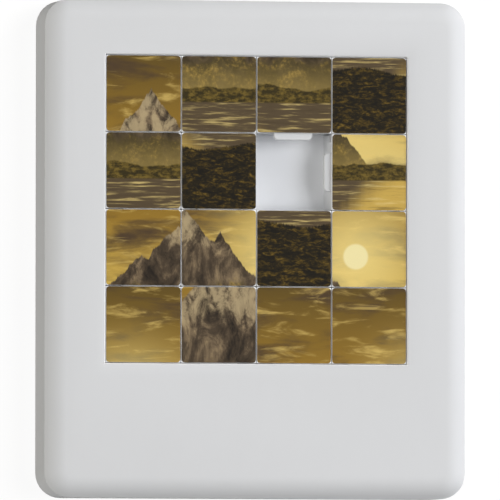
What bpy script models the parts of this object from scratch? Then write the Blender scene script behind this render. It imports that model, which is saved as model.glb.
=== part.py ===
"""Sliding tile puzzle: fifteen interlocking tiles in a square field with one empty cell.

The tiles ride in a tray that is clamped between a window housing and a snap-in back cover.
The puzzle lies on its back: +Z points out of its front face and +Y towards its top edge,
with the origin in the middle of the back face.
"""

import math

import bmesh
import bpy

MM = 0.001

# Tile field, in cells counted from the top left
GRID = 4
BLANK_ROW = 1
BLANK_COLUMN = 2
TILE_PITCH = 13.7 * MM
TILE_GAP = 0.12 * MM
FIELD_CLEARANCE = 0.12 * MM

# Housing, whose margins are measured from the field to the outside
SIDE_MARGIN = 10.8 * MM
TOP_MARGIN = 9.8 * MM
BOTTOM_MARGIN = 23.9 * MM
BODY_THICKNESS = 10.4 * MM
WALL = 1.6 * MM
CORNER_RADIUS = 4.5 * MM
CROWN_WIDTH = 3.7 * MM
CROWN_SLOPE = math.radians(45)
BORDER_WIDTH = 2.1 * MM
BORDER_DEPTH = 0.4 * MM
WINDOW_EDGE = 0.15 * MM
BACK_EDGE = 0.4 * MM
POST_RADIUS = 1.6 * MM

# Back cover and the snap beads along its edge
COVER_THICKNESS = 1.6 * MM
COVER_FIT = 0.2 * MM
COVER_EDGE = 0.25 * MM
BEAD_RADIUS = 0.45 * MM
BEAD_LENGTH = 9.0 * MM
BEAD_HEIGHT = 1.05 * MM
BEAD_CLEARANCE = 0.25 * MM

# Tray
FLOOR_THICKNESS = 1.0 * MM
RIM_WIDTH = 2.6 * MM

# Tile
TILE_RECESS = 0.23 * MM
TILE_CORNER = 0.15 * MM
TILE_EDGE = 0.1 * MM
CORE_WALL = 2.2 * MM
CORE_ROOF = 1.6 * MM
CORE_CORNER = 0.8 * MM
LABEL_THICKNESS = 0.1 * MM
LABEL_CORNER = 0.55 * MM

# Tongues on the left and bottom of a tile, grooves on its right and top
TONGUE_WIDTH = 7.0 * MM
TONGUE_LENGTH = 1.25 * MM
TONGUE_THICKNESS = 0.9 * MM
TONGUE_DROP = 0.75 * MM
TONGUE_CORNER = 0.8 * MM
TONGUE_EDGE = 0.12 * MM
TONGUE_CLEARANCE = 0.3 * MM

# Facets of the rounded shapes
CORNER_SEGMENTS = 8
CROWN_SEGMENTS = 7
SMALL_SEGMENTS = 3
EDGE_SEGMENTS = 3
ROUND_SIDES = 16
SMOOTH_BELOW = math.radians(35)

# How far a cutter passes the face it cuts, or a joined piece sinks into its carrier
OVERRUN = 1.0 * MM
SINK = 0.4 * MM

# Plan sizes that follow
TILE_SIZE = TILE_PITCH - TILE_GAP
FIELD = GRID * TILE_PITCH - TILE_GAP + 2 * FIELD_CLEARANCE
BODY_WIDTH = FIELD + 2 * SIDE_MARGIN
BODY_HEIGHT = FIELD + TOP_MARGIN + BOTTOM_MARGIN
FIELD_Y = (BOTTOM_MARGIN - TOP_MARGIN) / 2
INNER_WIDTH = BODY_WIDTH - 2 * WALL
INNER_HEIGHT = BODY_HEIGHT - 2 * WALL
PLATE_WIDTH = INNER_WIDTH - 2 * COVER_FIT
PLATE_HEIGHT = INNER_HEIGHT - 2 * COVER_FIT
LABEL_SIZE = TILE_SIZE - 2 * TILE_EDGE
ENGAGEMENT = TONGUE_LENGTH - TILE_GAP
GROOVE_DEPTH = ENGAGEMENT + TONGUE_CLEARANCE

# Levels above the back face that follow
FLOOR_TOP = COVER_THICKNESS + FLOOR_THICKNESS
WINDOW_TOP = BODY_THICKNESS - BORDER_DEPTH
TILE_TOP = WINDOW_TOP - TILE_RECESS - LABEL_THICKNESS
TONGUE_TOP = TILE_TOP - TONGUE_DROP
TONGUE_BOTTOM = TONGUE_TOP - TONGUE_THICKNESS
GROOVE_TOP = TONGUE_TOP + TONGUE_CLEARANCE
GROOVE_BOTTOM = TONGUE_BOTTOM - TONGUE_CLEARANCE
TILE_HEIGHT = TILE_TOP - FLOOR_TOP

# Plastics and print, as linear colours
HOUSING_WHITE = (0.66, 0.67, 0.68)
TILE_WHITE = (0.72, 0.73, 0.74)
PRINT_OCHRE = (0.30, 0.20, 0.06)


def clear_scene():
    for item in list(bpy.data.objects):
        bpy.data.objects.remove(item, do_unlink=True)


def new_collection(name):
    collection = bpy.data.collections.new(name)
    bpy.context.scene.collection.children.link(collection)
    return collection


def plastic(name, colour, roughness):
    material = bpy.data.materials.new(name)
    material.use_nodes = True
    shader = material.node_tree.nodes["Principled BSDF"]
    shader.inputs["Base Color"].default_value = (*colour, 1.0)
    shader.inputs["Roughness"].default_value = roughness
    shader.inputs["Metallic"].default_value = 0.0
    return material


def block(width, height, low, high, radius=0.0, segments=SMALL_SEGMENTS, centre=(0.0, 0.0)):
    """A box between two levels, with its upright edges rounded."""
    shape = bmesh.new()
    bmesh.ops.create_cube(shape, size=1.0)
    bmesh.ops.scale(shape, vec=(width, height, high - low), verts=shape.verts)
    if radius > 0.0:
        upright = [edge for edge in shape.edges if edge.verts[0].co.z * edge.verts[1].co.z < 0.0]
        bmesh.ops.bevel(
            shape, geom=upright, offset=radius, segments=segments, profile=0.5, affect="EDGES"
        )
    bmesh.ops.translate(shape, vec=(*centre, (low + high) / 2), verts=shape.verts)
    return shape


def arc_rise(width, slope):
    """Height of an arc that spans a width, from a slope at its foot to level at its top."""
    return width * math.tan(slope / 2)


def end_face(shape, side):
    """The highest face for side 1, the lowest for side -1."""
    return max(shape.faces, key=lambda face: side * face.calc_center_median().z)


def round_over(shape, width, slope, segments, side=1):
    """Carries an end face out along an arc that leaves its outline at a slope and ends level."""
    end_cap = end_face(shape, side)
    radius = width / math.sin(slope)
    for step in range(segments):
        start = slope * (1 - step / segments)
        end = slope * (1 - (step + 1) / segments)
        bmesh.ops.inset_region(
            shape,
            faces=[end_cap],
            thickness=radius * (math.sin(start) - math.sin(end)),
            depth=radius * (math.cos(end) - math.cos(start)),
            use_boundary=True,
            use_even_offset=True,
        )


def flare(shape, width, rise):
    """Carries the four-cornered top face up while each of its sides moves out by a width."""
    grown = bmesh.ops.extrude_discrete_faces(shape, faces=[end_face(shape, 1)])["faces"][0]
    middle = grown.calc_center_median()
    for vertex in grown.verts:
        vertex.co.x += math.copysign(width, vertex.co.x - middle.x)
        vertex.co.y += math.copysign(width, vertex.co.y - middle.y)
        vertex.co.z += rise


def rod(radius, low, high, centre):
    """An upright cylinder between two levels."""
    shape = bmesh.new()
    bmesh.ops.create_cone(
        shape, cap_ends=True, segments=ROUND_SIDES, radius1=radius, radius2=radius, depth=high - low
    )
    bmesh.ops.translate(shape, vec=(*centre, (low + high) / 2), verts=shape.verts)
    return shape


def bead(centre, level, along_x):
    """A round snap bead lying along an edge of the back cover."""
    bpy.ops.mesh.primitive_cylinder_add(
        vertices=ROUND_SIDES,
        radius=BEAD_RADIUS,
        depth=BEAD_LENGTH,
        location=(*centre, level),
        rotation=(0.0, math.pi / 2, 0.0) if along_x else (math.pi / 2, 0.0, 0.0),
    )
    return bpy.context.active_object


def to_object(name, shape, collection, material=None):
    mesh = bpy.data.meshes.new(name)
    shape.to_mesh(mesh)
    shape.free()
    mesh.shade_smooth()
    mesh.set_sharp_from_angle(angle=SMOOTH_BELOW)
    item = bpy.data.objects.new(name, mesh)
    collection.objects.link(item)
    if material:
        mesh.materials.append(material)
    return item


def as_tool(item):
    """Marks an object as a cutter or a joined form, which is no piece of its own."""
    for owner in list(item.users_collection):
        owner.objects.unlink(item)
    tools.objects.link(item)
    item.hide_render = True
    item.display_type = "WIRE"
    return item


def apply_tool(target, tool, operation):
    as_tool(tool)
    modifier = target.modifiers.new(f"{operation.lower()} {tool.name}", "BOOLEAN")
    modifier.operation = operation
    modifier.solver = "EXACT"
    modifier.object = tool


def cut(target, name, shape):
    apply_tool(target, to_object(name, shape, tools), "DIFFERENCE")


def join(target, name, shape):
    apply_tool(target, to_object(name, shape, tools), "UNION")


def bead_places():
    """Middle of each bead on the cover's edge, and whether the bead runs along X."""
    edge_x = PLATE_WIDTH / 2
    edge_y = PLATE_HEIGHT / 2
    for side in (-1, 1):
        for share in (-0.5, 0.5):
            yield (side * edge_x, share * edge_y), False
        yield (0.0, side * edge_y), True


def post_places():
    """Posts stand midway between the tray's rim and the skirt, and in the lower panel."""
    rim = FIELD / 2 + RIM_WIDTH
    side_x = (rim + INNER_WIDTH / 2) / 2
    top_y = (FIELD_Y + rim + INNER_HEIGHT / 2) / 2
    low_y = (FIELD_Y - rim - INNER_HEIGHT / 2) / 2
    for side in (-1, 1):
        for height in (top_y, FIELD_Y, low_y):
            yield (side * side_x, height)
        yield (side * side_x / 3, low_y)


def window_form():
    """The window's opening: straight walls, an eased edge and the sloped border around it."""
    slope = BORDER_DEPTH / BORDER_WIDTH
    eased = WINDOW_EDGE / (1 - slope)
    outside = BORDER_WIDTH + OVERRUN / slope
    shape = block(FIELD, FIELD, -OVERRUN, WINDOW_TOP - WINDOW_EDGE, centre=(0.0, FIELD_Y))
    flare(shape, eased, eased)
    flare(shape, outside - eased, (outside - eased) * slope)
    return shape


def build_housing(collection, material):
    """One moulding: crowned front plate, sunk window border, skirt and clamping posts."""
    shoulder = BODY_THICKNESS - arc_rise(CROWN_WIDTH, CROWN_SLOPE)
    shape = block(BODY_WIDTH, BODY_HEIGHT, BACK_EDGE, shoulder, CORNER_RADIUS, CORNER_SEGMENTS)
    round_over(shape, CROWN_WIDTH, CROWN_SLOPE, CROWN_SEGMENTS)
    round_over(shape, BACK_EDGE, math.pi / 2, EDGE_SEGMENTS, side=-1)
    housing = to_object("front_housing", shape, collection, material)

    inner_radius = CORNER_RADIUS - WALL
    cavity = block(
        INNER_WIDTH, INNER_HEIGHT, -OVERRUN, GROOVE_TOP, inner_radius, CORNER_SEGMENTS
    )
    cut(housing, "housing_cavity", cavity)
    for number, place in enumerate(post_places(), 1):
        join(housing, f"post_{number}", rod(POST_RADIUS, FLOOR_TOP, GROOVE_TOP + SINK, place))

    cut(housing, "window", window_form())

    reach = BEAD_RADIUS - COVER_FIT + BEAD_CLEARANCE
    length = BEAD_LENGTH + 2 * BEAD_CLEARANCE
    low = BEAD_HEIGHT - BEAD_RADIUS - BEAD_CLEARANCE
    high = BEAD_HEIGHT + BEAD_RADIUS + BEAD_CLEARANCE
    for number, (place, along_x) in enumerate(bead_places(), 1):
        across = 2 * (reach + COVER_FIT)
        plan = (length, across) if along_x else (across, length)
        cut(housing, f"snap_slot_{number}", block(*plan, low, high, centre=place))
    return housing


def build_cover(collection, material):
    """Flat back plate, held in the skirt by round beads along its edges."""
    radius = CORNER_RADIUS - WALL - COVER_FIT
    plate = (COVER_EDGE, COVER_THICKNESS)
    shape = block(PLATE_WIDTH, PLATE_HEIGHT, *plate, radius, CORNER_SEGMENTS)
    round_over(shape, COVER_EDGE, math.pi / 2, EDGE_SEGMENTS, side=-1)
    cover = to_object("back_cover", shape, collection, material)
    for number, (place, along_x) in enumerate(bead_places(), 1):
        tool = bead(place, BEAD_HEIGHT, along_x)
        tool.name = f"snap_bead_{number}"
        apply_tool(cover, tool, "UNION")
    return cover


def build_tray(collection, material):
    """Floor with a rim: ledges for the outer tongues, rails for the outer grooves."""
    radius = CORNER_RADIUS - WALL - COVER_FIT
    floor = block(PLATE_WIDTH, PLATE_HEIGHT, COVER_THICKNESS, FLOOR_TOP, radius, CORNER_SEGMENTS)
    tray = to_object("tile_tray", floor, collection, material)
    middle = (0.0, FIELD_Y)
    rim_size = FIELD + 2 * RIM_WIDTH
    join(tray, "rim", block(rim_size, rim_size, FLOOR_TOP - SINK, GROOVE_TOP, centre=middle))
    cut(tray, "pocket", block(FIELD, FIELD, FLOOR_TOP, GROOVE_TOP + OVERRUN, centre=middle))

    ledge = (GROOVE_BOTTOM, GROOVE_TOP + OVERRUN)
    ledge_offset = -FIELD / 2
    left = (ledge_offset, FIELD_Y)
    bottom = (0.0, FIELD_Y + ledge_offset)
    cut(tray, "left_ledge", block(2 * GROOVE_DEPTH, FIELD, *ledge, centre=left))
    cut(tray, "bottom_ledge", block(FIELD, 2 * GROOVE_DEPTH, *ledge, centre=bottom))

    rail = (TONGUE_BOTTOM, TONGUE_TOP)
    rail_width = ENGAGEMENT + SINK
    rail_offset = FIELD / 2 + (SINK - ENGAGEMENT) / 2
    rail_length = FIELD + 2 * SINK
    right = (rail_offset, FIELD_Y)
    top = (0.0, FIELD_Y + rail_offset)
    join(tray, "right_rail", block(rail_width, rail_length, *rail, centre=right))
    join(tray, "top_rail", block(rail_length, rail_width, *rail, centre=top))
    return tray


def tile_mesh(material):
    """The one tile form: tongues left and below, full-length grooves right and above."""
    edge_rise = arc_rise(TILE_EDGE, math.pi / 2)
    shape = block(TILE_SIZE, TILE_SIZE, 0.0, TILE_HEIGHT - edge_rise, TILE_CORNER)
    round_over(shape, TILE_EDGE, math.pi / 2, EDGE_SEGMENTS)
    pattern = to_object("tile_pattern", shape, tools, material)

    core = TILE_SIZE - 2 * CORE_WALL
    cut(pattern, "core", block(core, core, -OVERRUN, TILE_HEIGHT - CORE_ROOF, CORE_CORNER))

    half = TILE_SIZE / 2
    groove = (GROOVE_BOTTOM - FLOOR_TOP, GROOVE_TOP - FLOOR_TOP)
    run = TILE_SIZE + 2 * OVERRUN
    cut(pattern, "right_groove", block(2 * GROOVE_DEPTH, run, *groove, centre=(half, 0.0)))
    cut(pattern, "top_groove", block(run, 2 * GROOVE_DEPTH, *groove, centre=(0.0, half)))

    tongue_rise = arc_rise(TONGUE_EDGE, math.pi / 2)
    tongue = (TONGUE_BOTTOM - FLOOR_TOP, TONGUE_TOP - FLOOR_TOP - tongue_rise)
    for name, plan, centre in (
        ("left_tongue", (2 * TONGUE_LENGTH, TONGUE_WIDTH), (-half, 0.0)),
        ("bottom_tongue", (TONGUE_WIDTH, 2 * TONGUE_LENGTH), (0.0, -half)),
    ):
        form = block(*plan, *tongue, TONGUE_CORNER, centre=centre)
        round_over(form, TONGUE_EDGE, math.pi / 2, 1)
        join(pattern, name, form)

    state = bpy.context.evaluated_depsgraph_get()
    mesh = bpy.data.meshes.new_from_object(pattern.evaluated_get(state))
    mesh.name = "tile"
    for modifier in pattern.modifiers:
        bpy.data.objects.remove(modifier.object, do_unlink=True)
    bpy.data.objects.remove(pattern, do_unlink=True)
    return mesh


def tile_places():
    """Cell centres in reading order, without the empty cell."""
    first = (GRID - 1) / 2 * TILE_PITCH
    for row in range(GRID):
        for column in range(GRID):
            if (row, column) != (BLANK_ROW, BLANK_COLUMN):
                yield (column * TILE_PITCH - first, FIELD_Y + first - row * TILE_PITCH)


def build_tiles(collection, tile_material, label_material):
    """Every tile is its own piece on the tray's floor, with a printed label on its face."""
    mesh = tile_mesh(tile_material)
    label_shape = block(LABEL_SIZE, LABEL_SIZE, 0.0, LABEL_THICKNESS, LABEL_CORNER)
    pattern = to_object("label_pattern", label_shape, tools, label_material)
    label_mesh = pattern.data
    bpy.data.objects.remove(pattern, do_unlink=True)
    for number, (x, y) in enumerate(tile_places(), 1):
        tile = bpy.data.objects.new(f"tile_{number:02d}", mesh)
        tile.location = (x, y, FLOOR_TOP)
        collection.objects.link(tile)
        label = bpy.data.objects.new(f"face_label_{number:02d}", label_mesh)
        label.parent = tile
        label.location = (0.0, 0.0, TILE_HEIGHT)
        collection.objects.link(label)


clear_scene()
puzzle = new_collection("sliding tile puzzle")
tools = new_collection("cutters and joined forms")

housing_plastic = plastic("housing_plastic", HOUSING_WHITE, 0.38)
tray_plastic = plastic("tray_plastic", HOUSING_WHITE, 0.42)
cover_plastic = plastic("cover_plastic", HOUSING_WHITE, 0.45)
tile_plastic = plastic("tile_plastic", TILE_WHITE, 0.35)
label_print = plastic("label_print", PRINT_OCHRE, 0.40)

build_housing(puzzle, housing_plastic)
build_cover(puzzle, cover_plastic)
build_tray(puzzle, tray_plastic)
build_tiles(puzzle, tile_plastic, label_print)
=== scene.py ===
"""Looks of the sliding tile puzzle: finishes, printed picture, studio light and camera."""

import math
import random

import bpy
from mathutils import Matrix, Vector


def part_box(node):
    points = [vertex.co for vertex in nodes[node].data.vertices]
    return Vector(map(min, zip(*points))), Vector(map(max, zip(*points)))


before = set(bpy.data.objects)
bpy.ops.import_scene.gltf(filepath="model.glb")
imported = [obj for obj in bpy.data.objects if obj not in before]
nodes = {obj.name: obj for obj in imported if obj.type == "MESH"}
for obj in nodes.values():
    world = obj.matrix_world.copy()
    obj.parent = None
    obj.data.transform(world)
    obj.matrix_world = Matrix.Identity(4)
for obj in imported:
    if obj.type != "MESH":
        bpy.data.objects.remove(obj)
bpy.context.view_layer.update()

MM = 0.001

# The tile field, whose cells are counted from the top left
GRID = 4
BLANK_CELL = (1, 2)
LABEL_NAMES = [f"face_label_{number:02d}" for number in range(1, GRID * GRID)]
TILE_NAMES = [f"tile_{number:02d}" for number in range(1, GRID * GRID)]


def middle_of(node):
    low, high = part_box(node)
    return (low + high) / 2


PITCH = middle_of(LABEL_NAMES[1]).x - middle_of(LABEL_NAMES[0]).x
FIELD_MIDDLE = (middle_of(LABEL_NAMES[0]) + middle_of(LABEL_NAMES[-1])) / 2

# The slides that shuffle the picture from its solved state
SHUFFLE_SEED = 7
SHUFFLE_MOVES = 400

# Painted highlight: a paler colour painted around the housing's window, whose walls lie in shade, and
# on the tiles above their tongues
WINDOW_REACH = GRID * PITCH / 2 + 0.22 * MM
RIM_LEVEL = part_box(TILE_NAMES[0])[1].z - 0.72 * MM
EDGE_EASE = 0.02 * MM

# The printed film's lap over the edge of its tile
LAP_ACROSS = 0.03 * MM
LAP_UP = 0.05 * MM

# Smooth shading
SMOOTH_BELOW = math.radians(30)
WELD_DISTANCE = 0.0005 * MM

# Whites of the mouldings, as linear colours
HOUSING_WHITE = (0.705, 0.713, 0.728, 1.0)
# Painted highlight over the window's chamfer and walls, which lie in shade
WINDOW_HIGHLIGHT_WHITE = (0.880, 0.889, 0.906, 1.0)
COVER_WHITE = (0.690, 0.698, 0.712, 1.0)
TRAY_WHITE = (0.885, 0.895, 0.915, 1.0)
# Tiles below their rim: their white, kept darker than the rim as painted shade on tongues and walls
TILE_WHITE = (0.670, 0.678, 0.691, 1.0)
# Painted highlight on the tiles' upper rim and edges
RIM_HIGHLIGHT_WHITE = (0.920, 0.929, 0.948, 1.0)
MOTTLE_DARK = (0.965, 0.965, 0.965, 1.0)
FULL_WHITE = (1.0, 1.0, 1.0, 1.0)

# Floor and surrounding light
FLOOR_SIZE = 6.0
FLOOR_DROP = 0.02 * MM
FLOOR_TO_LIGHT = (0.15, 0.15, 0.15, 1.0)
FLOOR_TO_CAMERA = (0.16, 0.16, 0.16, 1.0)
FLOOR_GLOW = 0.88
AMBIENT_LEVEL = 0.03
AMBIENT_TINT = (0.97, 0.985, 1.0, 1.0)

# Lamps
LAMP_DISTANCE = 0.9
PLAIN = (1.0, 1.0, 1.0)
COOL = (0.97, 0.98, 1.0)
CREAM = (1.0, 0.99, 0.985)
WARM = (1.0, 0.96, 0.86)


# Node building


def srgb(red, green, blue):
    """A colour given in 0 to 255 screen values, as linear RGBA."""

    def linear(value):
        share = value / 255
        return share / 12.92 if share <= 0.04045 else ((share + 0.055) / 1.055) ** 2.4

    return (linear(red), linear(green), linear(blue), 1.0)


class Graph:
    """Short calls that add nodes to one node tree; most return an output socket."""

    def __init__(self, tree):
        self.tree = tree

    def add(self, kind, inputs=None, **settings):
        """Adds a node, with its inputs linked or set, and returns the node."""
        node = self.tree.nodes.new(kind)
        for name, value in settings.items():
            setattr(node, name, value)
        for name, value in (inputs or {}).items():
            self.feed(node.inputs[name], value)
        return node

    def feed(self, socket, value):
        if isinstance(value, bpy.types.NodeSocket):
            self.tree.links.new(value, socket)
        else:
            socket.default_value = value

    def surface(self, shader, kind="ShaderNodeOutputMaterial"):
        """Ends a material or world with its shader."""
        self.feed(self.add(kind).inputs["Surface"], shader)

    def math(self, operation, first, second=0.0, clamp=False):
        node = self.add("ShaderNodeMath", {0: first, 1: second}, operation=operation)
        node.use_clamp = clamp
        return node.outputs[0]

    def plus(self, first, second):
        return self.math("ADD", first, second)

    def minus(self, first, second):
        return self.math("SUBTRACT", first, second)

    def times(self, first, second):
        return self.math("MULTIPLY", first, second)

    def larger(self, first, second):
        return self.math("MAXIMUM", first, second)

    def away(self, value, centre):
        return self.math("ABSOLUTE", self.minus(value, centre))

    def weighted(self, first, weight, second):
        """Adds two values, the first by its weight and the second by what is left of 1."""
        return self.plus(self.times(first, weight), self.times(second, 1.0 - weight))

    def between(self, value, low, high):
        """0 below low, 1 above high, eased between; low may exceed high."""
        node = self.add(
            "ShaderNodeMapRange",
            {"Value": value, "From Min": low, "From Max": high},
            interpolation_type="SMOOTHSTEP",
        )
        return node.outputs["Result"]

    def span(self, value, low, high):
        """Carries 0 to 1 linearly to low to high."""
        node = self.add("ShaderNodeMapRange", {"Value": value, "To Min": low, "To Max": high})
        return node.outputs["Result"]

    def mix(self, share, first, second, blend="MIX"):
        node = self.add("ShaderNodeMix", data_type="RGBA", blend_type=blend)
        self.feed(node.inputs["Factor"], share)
        self.feed(node.inputs[6], first)
        self.feed(node.inputs[7], second)
        return node.outputs[2]

    def ramp(self, value, stops):
        node = self.add("ShaderNodeValToRGB", {"Fac": value})
        elements = node.color_ramp.elements
        while len(elements) < len(stops):
            elements.new(1.0)
        for element, (place, colour) in zip(elements, stops):
            element.position = place
            element.color = colour
        return node.outputs["Color"]

    def scaled(self, vector, scale, offset=(0.0, 0.0, 0.0)):
        node = self.add("ShaderNodeMapping", {"Vector": vector, "Location": offset, "Scale": scale})
        return node.outputs["Vector"]

    def noise(self, vector, scale, detail, roughness, distortion=0.0):
        node = self.add(
            "ShaderNodeTexNoise",
            {
                "Vector": vector,
                "Scale": scale,
                "Detail": detail,
                "Roughness": roughness,
                "Distortion": distortion,
            },
        )
        return node.outputs["Fac"]

    def drawn_out(
        self, vector, stretch, detail, roughness, distortion=0.0, scale=1.0, offset=(0.0, 0.0, 0.0)
    ):
        """Noise whose grain differs from axis to axis."""
        return self.noise(
            self.scaled(vector, stretch, offset), scale, detail, roughness, distortion
        )


def new_material(name):
    material = bpy.data.materials.new(name)
    material.use_nodes = True
    material.node_tree.nodes.clear()
    return material, Graph(material.node_tree)


# White mouldings


def above(level):
    """Gives the share of a colour that starts at a height."""

    def share(graph, axes):
        return graph.between(axes["Z"], level - EDGE_EASE, level + EDGE_EASE)

    return share


def inside(middle, reach):
    """Gives the share of a colour that fills an upright square shaft."""

    def share(graph, axes):
        away = graph.larger(graph.away(axes["X"], middle.x), graph.away(axes["Y"], middle.y))
        return graph.between(away, reach + EDGE_EASE, reach - EDGE_EASE)

    return share


def moulded_plastic(name, colour, roughness, specular, grain, painted_light=None):
    """Injection-moulded white plastic: faint flow mottle, fine grain and uneven gloss.

    Painted light, where given, is the share of a painted highlight and its paler colour.
    """
    material, graph = new_material(name)
    place = graph.add("ShaderNodeTexCoord").outputs["Object"]
    mottle = graph.noise(place, 90.0, detail=3.0, roughness=0.55)
    flow = graph.drawn_out(place, (1.0, 0.35, 1.0), detail=2.0, roughness=0.5, scale=420.0)
    shade = graph.plus(graph.span(mottle, -0.5, 0.5), graph.span(flow, -0.3, 0.3))
    evenness = graph.math("ADD", graph.times(shade, 0.6), 0.5, clamp=True)
    tint = graph.mix(evenness, MOTTLE_DARK, FULL_WHITE)
    # Painted highlight: a paler colour painted over the given share, where the lamps leave edges
    # darker
    if painted_light:
        share, painted_colour = painted_light
        axes = graph.add("ShaderNodeSeparateXYZ", {"Vector": place}).outputs
        colour = graph.mix(share(graph, axes), colour, painted_colour)
    base = graph.mix(1.0, colour, tint, "MULTIPLY")
    speckle = graph.noise(place, 5200.0, detail=2.0, roughness=0.6)
    patches = graph.noise(place, 260.0, detail=3.0, roughness=0.6)
    gloss = graph.span(patches, roughness - 0.05, roughness + 0.05)
    bump = graph.add(
        "ShaderNodeBump", {"Height": speckle, "Strength": grain, "Distance": 0.02 * MM}
    )
    shader = graph.add(
        "ShaderNodeBsdfPrincipled",
        {
            "Base Color": base,
            "Roughness": gloss,
            "Normal": bump.outputs["Normal"],
            "IOR": 1.5,
            "Specular IOR Level": specular,
        },
    )
    graph.surface(shader.outputs["BSDF"])
    return material


# The printed picture: a lake and a mountain at sunset


def mountain_skyline(graph, place, across):
    """Height of the mountain over the picture's width: the highest of its tents, made jagged."""
    peaks = [(0.40, 0.88, 1.15), (0.63, 0.66, 1.05), (0.12, 0.60, 0.85)]
    height = None
    for centre, top, slope in peaks:
        tent = graph.minus(top, graph.times(graph.away(across, centre), slope))
        height = tent if height is None else graph.larger(height, tent)
    jag = graph.drawn_out(place, (1.0, 0.0, 0.0), detail=6.0, roughness=0.62, scale=9.0)
    return graph.plus(height, graph.span(jag, -0.075, 0.075))


def paint_sky(graph, place, across, up):
    """Sky with drawn-out cloud banks, lit from a low sun."""
    sky = graph.ramp(
        up,
        [
            (0.36, srgb(236, 214, 138)),
            (0.52, srgb(206, 172, 82)),
            (0.72, srgb(154, 120, 46)),
            (1.00, srgb(98, 78, 34)),
        ],
    )
    banks = graph.drawn_out(place, (2.2, 7.5, 1.0), 7.0, 0.56, 0.35, scale=1.6)
    wisps = graph.drawn_out(
        place, (3.0, 13.0, 1.0), 8.0, 0.6, 0.5, scale=2.3, offset=(3.1, 1.7, 0.0)
    )
    lit = graph.times(graph.between(wisps, 0.52, 0.74), 0.75)
    sky = graph.mix(graph.between(banks, 0.45, 0.68), sky, srgb(80, 63, 44))
    sky = graph.mix(lit, sky, srgb(228, 196, 112))
    sun_x = graph.minus(across, 0.83)
    sun_y = graph.minus(up, 0.60)
    sun_away = graph.math("SQRT", graph.plus(graph.times(sun_x, sun_x), graph.times(sun_y, sun_y)))
    glow = graph.math("POWER", graph.between(sun_away, 0.42, 0.0), 2.0)
    sky = graph.mix(graph.times(glow, 0.8), sky, srgb(250, 224, 140))
    return graph.mix(graph.between(sun_away, 0.046, 0.036), sky, srgb(250, 236, 176))


def paint_mountain(graph, place, up, skyline, scene):
    """The mountain, with pale scree above bare rock and hazy woods below it."""
    folds = graph.drawn_out(place, (9.0, 4.6, 1.0), 9.0, 0.66, 0.9, scale=1.5)
    crags = graph.drawn_out(place, (26.0, 15.0, 1.0), 7.0, 0.7, 0.4)
    rock = graph.ramp(
        graph.between(graph.weighted(folds, 0.72, crags), 0.34, 0.66),
        [
            (0.0, srgb(34, 28, 22)),
            (0.45, srgb(82, 69, 54)),
            (0.75, srgb(124, 106, 82)),
            (1.0, srgb(164, 142, 106)),
        ],
    )
    scree_line = graph.plus(0.62, graph.span(folds, 0.16, -0.16))
    scree = graph.times(
        graph.between(graph.minus(up, scree_line), 0.0, 0.08), graph.between(crags, 0.38, 0.58)
    )
    rock = graph.mix(graph.times(scree, 0.8), rock, srgb(186, 166, 128))
    tree_line = graph.plus(0.50, graph.span(folds, -0.12, 0.12))
    woods = graph.between(graph.minus(tree_line, up), -0.01, 0.03)
    spurs = graph.drawn_out(place, (8.0, 10.0, 1.0), 5.0, 0.6, 1.6, offset=(2.0, 4.0, 0.0))
    crowns = graph.drawn_out(place, (105.0, 84.0, 1.0), 4.0, 0.6, 0.2)
    leaves = graph.ramp(
        graph.between(graph.weighted(spurs, 0.62, crowns), 0.38, 0.64),
        [
            (0.0, srgb(32, 28, 16)),
            (0.45, srgb(66, 56, 28)),
            (0.8, srgb(112, 92, 42)),
            (1.0, srgb(150, 124, 60)),
        ],
    )
    rock = graph.mix(graph.times(woods, 0.9), rock, leaves)
    mist = graph.times(graph.between(up, 0.52, 0.36), 0.42)
    rock = graph.mix(mist, rock, srgb(196, 168, 96))
    massif = graph.between(graph.minus(skyline, up), -0.003, 0.004)
    return graph.mix(massif, scene, rock)


def paint_hills(graph, place, up, scene):
    """Low hills along the far shore."""
    roll = graph.drawn_out(place, (1.0, 0.0, 0.0), 5.0, 0.55, scale=4.5, offset=(5.0, 0.0, 0.0))
    shore = graph.plus(0.365, graph.span(roll, -0.02, 0.085))
    hills = graph.between(graph.minus(shore, up), -0.002, 0.004)
    scrub = graph.drawn_out(place, (40.0, 64.0, 1.0), 6.0, 0.65)
    colour = graph.mix(graph.between(scrub, 0.40, 0.66), srgb(52, 44, 20), srgb(118, 98, 44))
    return graph.mix(hills, scene, colour)


def paint_lake(graph, place, up, skyline, scene):
    """The lake, which mirrors the mountain and breaks it up with ripples."""
    ripple = graph.drawn_out(place, (7.0, 95.0, 1.0), 5.0, 0.6, 0.2)
    mirrored = graph.minus(0.70, graph.plus(up, graph.span(ripple, -0.06, 0.06)))
    shadowed = graph.between(graph.minus(skyline, mirrored), -0.05, 0.09)
    crests = graph.times(graph.between(ripple, 0.50, 0.72), 0.75)
    troughs = graph.times(graph.between(ripple, 0.46, 0.28), 0.6)
    water = graph.mix(shadowed, srgb(206, 172, 86), srgb(88, 74, 54))
    water = graph.mix(crests, water, srgb(232, 206, 132))
    water = graph.mix(troughs, water, srgb(66, 54, 34))
    return graph.mix(graph.between(up, 0.352, 0.345), scene, water)


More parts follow.
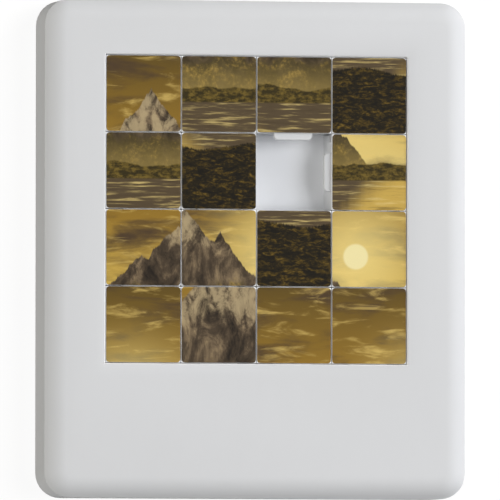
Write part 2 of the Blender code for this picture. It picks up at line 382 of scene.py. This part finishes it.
def paint_meadow(graph, place, up, scene):
    """Dark meadow in front, whose matted clumps catch the light."""
    rise = graph.drawn_out(place, (1.0, 0.0, 0.0), 2.0, 0.5, scale=3.0, offset=(9.0, 0.0, 0.0))
    tufts = graph.drawn_out(place, (170.0, 24.0, 1.0), 3.0, 0.5)
    brink = graph.plus(0.21, graph.span(rise, -0.05, 0.05))
    brink = graph.plus(brink, graph.span(tufts, -0.009, 0.009))
    near = graph.between(graph.minus(brink, up), 0.0, 0.008)
    mats = graph.drawn_out(place, (24.0, 62.0, 1.0), 6.0, 0.62, 1.1)
    blades = graph.drawn_out(place, (90.0, 130.0, 1.0), 4.0, 0.6, 0.6)
    ground = graph.ramp(
        graph.between(graph.weighted(mats, 0.7, blades), 0.36, 0.70),
        [
            (0.0, srgb(18, 15, 9)),
            (0.40, srgb(38, 31, 15)),
            (0.75, srgb(78, 62, 24)),
            (1.0, srgb(122, 98, 42)),
        ],
    )
    return graph.mix(near, scene, ground)


def picture_group():
    """Colour of the whole picture at a point, whose x and y run from 0 to 1."""
    tree = bpy.data.node_groups.new("printed picture", "ShaderNodeTree")
    tree.interface.new_socket("Place", in_out="INPUT", socket_type="NodeSocketVector")
    tree.interface.new_socket("Colour", in_out="OUTPUT", socket_type="NodeSocketColor")
    graph = Graph(tree)
    place = graph.add("NodeGroupInput").outputs["Place"]
    axes = graph.add("ShaderNodeSeparateXYZ", {"Vector": place}).outputs
    across = axes["X"]
    up = axes["Y"]
    skyline = mountain_skyline(graph, place, across)
    scene = paint_sky(graph, place, across, up)
    scene = paint_mountain(graph, place, up, skyline, scene)
    scene = paint_hills(graph, place, up, scene)
    scene = paint_lake(graph, place, up, skyline, scene)
    scene = paint_meadow(graph, place, up, scene)
    print_grain = graph.noise(place, 380.0, detail=2.0, roughness=0.6)
    scene = graph.mix(graph.span(print_grain, 0.0, 0.12), scene, srgb(20, 16, 10))
    graph.feed(graph.add("NodeGroupOutput").inputs["Colour"], scene)
    return tree


def scrambled_homes(seed, moves):
    """Home cell of each tile in reading order, after random legal slides from the solved picture."""
    draw = random.Random(seed)
    cells = [[(row, column) for column in range(GRID)] for row in range(GRID)]
    row = column = GRID - 1
    cells[row][column] = None

    def slide(to_row, to_column):
        nonlocal row, column
        cells[row][column] = cells[to_row][to_column]
        row, column = to_row, to_column
        cells[row][column] = None

    for _ in range(moves):
        steps = [(row + 1, column), (row - 1, column), (row, column + 1), (row, column - 1)]
        slide(*draw.choice([s for s in steps if min(s) >= 0 and max(s) < GRID]))
    while row != BLANK_CELL[0]:
        slide(row + (1 if BLANK_CELL[0] > row else -1), column)
    while column != BLANK_CELL[1]:
        slide(row, column + (1 if BLANK_CELL[1] > column else -1))
    return [home for line in cells for home in line if home]


def printed_label(name, picture, home):
    """Satin printed film showing one home cell of the picture."""
    material, graph = new_material(f"print {name}")
    centre = middle_of(name)
    scale = 1.0 / (GRID * PITCH)
    corner = Vector(
        (
            (home[1] + 0.5) / GRID - centre.x * scale,
            (GRID - home[0] - 0.5) / GRID - centre.y * scale,
            0.0,
        )
    )
    place = graph.add("ShaderNodeTexCoord").outputs["Object"]
    on_picture = graph.scaled(place, (scale, scale, 0.0), corner)
    group = graph.add("ShaderNodeGroup", node_tree=picture)
    graph.feed(group.inputs["Place"], on_picture)
    sheen = graph.noise(place, 700.0, detail=3.0, roughness=0.6)
    fine = graph.noise(place, 4200.0, detail=2.0, roughness=0.5)
    bump = graph.add("ShaderNodeBump", {"Height": fine, "Strength": 0.04, "Distance": 0.01 * MM})
    shader = graph.add(
        "ShaderNodeBsdfPrincipled",
        {
            "Base Color": group.outputs["Colour"],
            "Roughness": graph.span(sheen, 0.36, 0.46),
            "Normal": bump.outputs["Normal"],
            "IOR": 1.45,
            "Specular IOR Level": 0.08,
        },
    )
    graph.surface(shader.outputs["BSDF"])
    return material


# Modifiers: the printed film's lap and smooth shading


def geometry_group(name):
    tree = bpy.data.node_groups.new(name, "GeometryNodeTree")
    tree.interface.new_socket("Geometry", in_out="INPUT", socket_type="NodeSocketGeometry")
    tree.interface.new_socket("Geometry", in_out="OUTPUT", socket_type="NodeSocketGeometry")
    graph = Graph(tree)
    return tree, graph, graph.add("NodeGroupInput").outputs["Geometry"]


def lapping_group(lap_x, lap_y):
    """Widens a printed film by a lap on each side, over the rounded edge of its tile."""
    tree, graph, film = geometry_group("film lap")

    def vectors(operation, first, second):
        node = graph.add("ShaderNodeVectorMath", {0: first, 1: second}, operation=operation)
        return node.outputs[0]

    box = graph.add("GeometryNodeBoundBox", {"Geometry": film}).outputs
    place = graph.add("GeometryNodeInputPosition").outputs["Position"]
    middle = vectors("MULTIPLY", vectors("ADD", box["Min"], box["Max"]), (0.5, 0.5, 0.5))
    size = vectors("SUBTRACT", box["Max"], box["Min"])
    share = vectors("DIVIDE", (2 * lap_x, 2 * lap_y, 0.0), size)
    offset = vectors("MULTIPLY", vectors("SUBTRACT", place, middle), share)
    moved = graph.add("GeometryNodeSetPosition", {"Geometry": film, "Offset": offset})
    graph.feed(graph.add("NodeGroupOutput").inputs["Geometry"], moved.outputs["Geometry"])
    return tree


def smoothing_group(angle):
    """Shades a mesh smooth, with edges above the angle kept sharp."""
    tree, graph, mesh = geometry_group("smooth by angle")
    weld = graph.add("GeometryNodeMergeByDistance", {"Geometry": mesh, "Distance": WELD_DISTANCE})
    turn = graph.add("GeometryNodeInputMeshEdgeAngle")
    gentle = graph.add(
        "FunctionNodeCompare",
        {"A": turn.outputs["Unsigned Angle"], "B": angle},
        data_type="FLOAT",
        operation="LESS_EQUAL",
    )
    faces = graph.add(
        "GeometryNodeSetShadeSmooth", {"Geometry": weld.outputs["Geometry"]}, domain="FACE"
    )
    edges = graph.add(
        "GeometryNodeSetShadeSmooth",
        {"Geometry": faces.outputs["Geometry"], "Shade Smooth": gentle.outputs["Result"]},
        domain="EDGE",
    )
    graph.feed(graph.add("NodeGroupOutput").inputs["Geometry"], edges.outputs["Geometry"])
    return tree


# Dressing the CAD nodes


def dress(name, material, groups):
    """Gives a CAD node its finish."""
    node = nodes[name]
    node.data.materials.clear()
    node.data.materials.append(material)
    for group in groups:
        node.modifiers.new(group.name, "NODES").node_group = group


smooth = smoothing_group(SMOOTH_BELOW)
film_lap = lapping_group(LAP_ACROSS, LAP_UP)
# The housing's window chamfer and walls are painted paler: painted highlight over shade
housing_plastic = moulded_plastic(
    "housing plastic",
    HOUSING_WHITE,
    roughness=0.62,
    specular=0.15,
    grain=0.10,
    painted_light=(inside(FIELD_MIDDLE, WINDOW_REACH), WINDOW_HIGHLIGHT_WHITE),
)
cover_plastic = moulded_plastic(
    "cover plastic", COVER_WHITE, roughness=0.65, specular=0.15, grain=0.22
)
tray_plastic = moulded_plastic(
    "tray plastic", TRAY_WHITE, roughness=0.36, specular=0.50, grain=0.08
)
# The tiles' rim above their tongues is painted paler as a painted highlight, and the plastic below
# reads as painted shade
tile_plastic = moulded_plastic(
    "tile plastic",
    TILE_WHITE,
    roughness=0.33,
    specular=0.40,
    grain=0.06,
    painted_light=(above(RIM_LEVEL), RIM_HIGHLIGHT_WHITE),
)
dress("front_housing", housing_plastic, [smooth])
dress("back_cover", cover_plastic, [smooth])
dress("tile_tray", tray_plastic, [smooth])
for name in TILE_NAMES:
    dress(name, tile_plastic, [smooth])
picture = picture_group()
for name, home in zip(LABEL_NAMES, scrambled_homes(SHUFFLE_SEED, SHUFFLE_MOVES)):
    dress(name, printed_label(name, picture, home), [film_lap, smooth])


# Floor, world and lamps


def seen_as_backdrop(graph, path):
    """1 where the camera, a reflection or a view through something meets the backdrop."""
    seen = graph.larger(path["Is Camera Ray"], path["Is Glossy Ray"])
    return graph.larger(seen, path["Is Transmission Ray"])


def floor_material():
    """White to the camera and to gloss, with the object's shadow kept faint.

    It is clear from below, and to the light of the lamps under it.
    """
    material, graph = new_material("studio floor")
    path = graph.add("ShaderNodeLightPath").outputs
    seen = seen_as_backdrop(graph, path)
    grey = graph.mix(seen, FLOOR_TO_LIGHT, FLOOR_TO_CAMERA)
    matt = graph.add("ShaderNodeBsdfDiffuse", {"Color": grey})
    lift = graph.add("ShaderNodeEmission", {"Strength": graph.times(seen, FLOOR_GLOW)})
    both = graph.add("ShaderNodeAddShader", {0: matt.outputs["BSDF"], 1: lift.outputs["Emission"]})
    below = graph.add("ShaderNodeBsdfTransparent")
    back = graph.add("ShaderNodeNewGeometry").outputs["Backfacing"]
    clear = graph.larger(back, path["Is Shadow Ray"])
    sided = graph.add(
        "ShaderNodeMixShader", {"Fac": clear, 1: both.outputs["Shader"], 2: below.outputs["BSDF"]}
    )
    graph.surface(sided.outputs["Shader"])
    return material


def make_floor():
    bpy.ops.mesh.primitive_plane_add(size=FLOOR_SIZE, location=(0.0, 0.0, -FLOOR_DROP))
    floor = bpy.context.active_object
    floor.name = "studio_floor"
    floor.data.materials.append(floor_material())


def make_world():
    """White to the camera and to gloss, and a weak light to everything else."""
    world = bpy.data.worlds.new("studio")
    bpy.context.scene.world = world
    world.use_nodes = True
    world.node_tree.nodes.clear()
    graph = Graph(world.node_tree)
    seen = seen_as_backdrop(graph, graph.add("ShaderNodeLightPath").outputs)
    light = graph.add("ShaderNodeBackground", {"Color": AMBIENT_TINT, "Strength": AMBIENT_LEVEL})
    white = graph.add("ShaderNodeBackground", {"Color": FULL_WHITE, "Strength": 1.0})
    chosen = graph.add(
        "ShaderNodeMixShader",
        {"Fac": seen, 1: light.outputs["Background"], 2: white.outputs["Background"]},
    )
    graph.surface(chosen.outputs["Shader"], "ShaderNodeOutputWorld")


def soft_lamp(name, turn, height, level, tint=PLAIN, size=0.6, in_gloss=True):
    """A square softbox at angles in degrees; at level 1 it alone shows a facing colour as written."""
    lamp = bpy.data.lights.new(name, "AREA")
    lamp.shape = "SQUARE"
    lamp.size = size
    lamp.color = tint
    lamp.energy = level * (math.pi * LAMP_DISTANCE) ** 2
    item = bpy.data.objects.new(name, lamp)
    bpy.context.scene.collection.objects.link(item)
    turn = math.radians(turn)
    height = math.radians(height)
    direction = Vector(
        (math.cos(height) * math.cos(turn), math.cos(height) * math.sin(turn), math.sin(height))
    )
    item.location = direction * LAMP_DISTANCE
    item.rotation_mode = "QUATERNION"
    item.rotation_quaternion = (-direction).to_track_quat("-Z", "Y")
    item.visible_glossy = in_gloss


make_floor()
make_world()
soft_lamp("upper right softbox", turn=30.0, height=20.0, level=0.655, tint=CREAM)
soft_lamp("low right softbox", turn=0.0, height=10.0, level=0.30)
soft_lamp("high right softbox", turn=6.0, height=60.0, level=0.48, tint=COOL, size=0.5)
soft_lamp("low left softbox", turn=180.0, height=30.0, level=0.415, tint=WARM)
soft_lamp("high left softbox", turn=180.0, height=60.0, level=0.16, tint=COOL)
soft_lamp("under lamp", turn=0.0, height=-90.0, level=0.42, size=0.1, in_gloss=False)
soft_lamp("floor bounce", turn=270.0, height=-35.0, level=0.2, size=0.3, in_gloss=False)


# Camera: a long lens, turned to show the left side wall


def make_camera(left, below, roll, lens, frame_width, aim_right, aim_up):
    camera = bpy.data.cameras.new("camera")
    camera.lens = lens
    camera.sensor_width = 36.0
    item = bpy.data.objects.new("camera", camera)
    bpy.context.scene.collection.objects.link(item)
    bpy.context.scene.camera = item
    back = Vector(
        (
            -math.sin(left) * math.cos(below),
            -math.sin(below),
            math.cos(left) * math.cos(below),
        )
    )
    right = Vector((0.0, 1.0, 0.0)).cross(back).normalized()
    turned = Matrix.Rotation(roll, 3, back) @ right
    up = back.cross(turned)
    distance = frame_width * lens / camera.sensor_width
    rotation = Matrix((turned, up, back)).transposed()
    place = turned * aim_right + up * aim_up + back * distance
    item.matrix_world = Matrix.Translation(place) @ rotation.to_4x4()
    camera.clip_start = distance / 10
    camera.clip_end = distance * 10


make_camera(
    left=math.radians(12.0),
    below=math.radians(2.0),
    roll=math.radians(0.07),
    lens=1000.0,
    frame_width=89.38 * MM,
    aim_right=0.87 * MM,
    aim_up=0.22 * MM,
)
bpy.context.scene.view_settings.view_transform = "Standard"
